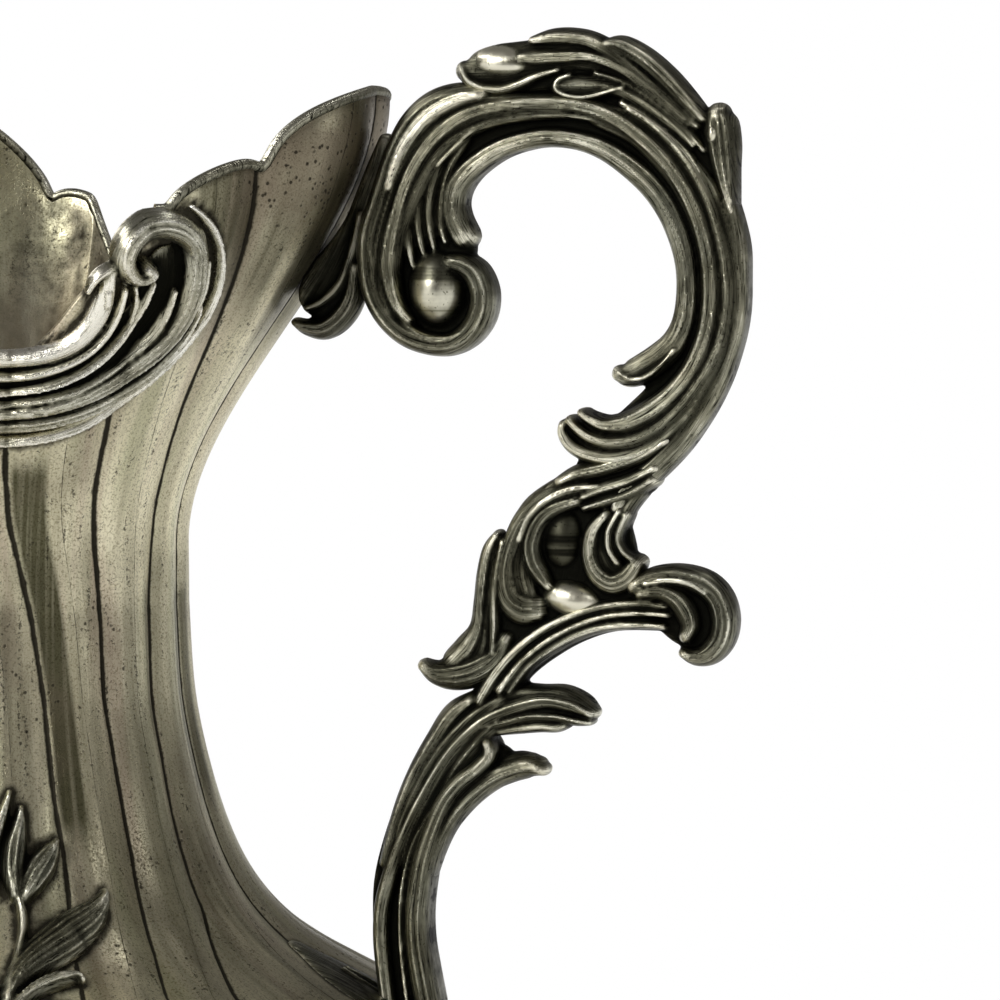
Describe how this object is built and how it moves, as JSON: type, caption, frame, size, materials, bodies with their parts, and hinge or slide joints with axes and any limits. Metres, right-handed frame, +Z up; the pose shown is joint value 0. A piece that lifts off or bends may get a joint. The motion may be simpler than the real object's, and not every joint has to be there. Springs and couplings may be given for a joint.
{
  "type": "ewer",
  "caption": "Footed ewer with a fluted pear-shaped body, a flared mouth with crescent-cut sides, and an open cast scroll handle; applied flower sprays.",
  "frame": {"origin": "centre of the foot's resting plane, on the vessel's axis", "axes": "+Z up along the vessel's axis; +X towards the handle, -X towards the spout; the XZ plane is the plane of symmetry, with the near side at -Y"},
  "size_m": [0.2849, 0.234, 0.3708],
  "materials": {
    "plate_shell": "worn silver plate over white metal, warm grey, with dark creases, specks and brown tarnish",
    "plate_trim": "worn silver plate, darker in the corners",
    "mouldings": "tarnished silver plate, blackened recesses and bright worn ridges",
    "handle_casting": "olive-grey tarnished casting, blackened recesses and bright worn ridges",
    "sprays": "tarnished silver plate, dark veins and bright leaf edges"
  },
  "bodies": {
    "root": {"foot_ring": "plate_trim", "foot_dome": "plate_shell", "knop": "plate_trim", "bowl_shell": "plate_shell", "neck_shell": "plate_shell", "rear_rim_wire": "plate_trim", "spout_rim_wire": "plate_trim", "mouth_scroll_near": "mouldings", "mouth_scroll_far": "mouldings", "mouth_bead_near": "mouldings", "mouth_bead_far": "mouldings", "handle_bracket": "handle_casting", "handle_upper_scroll": "handle_casting", "handle_crown_leaf": "handle_casting", "handle_knot": "handle_casting", "handle_lower_scroll": "handle_casting", "handle_foot_leaf": "handle_casting", "spray_leaves_near": "sprays", "spray_leaves_far": "sprays", "spray_flowers_near": "sprays", "spray_flowers_far": "sprays", "spray_bosses_near": "sprays", "spray_bosses_far": "sprays"}
  },
  "joints": []
}
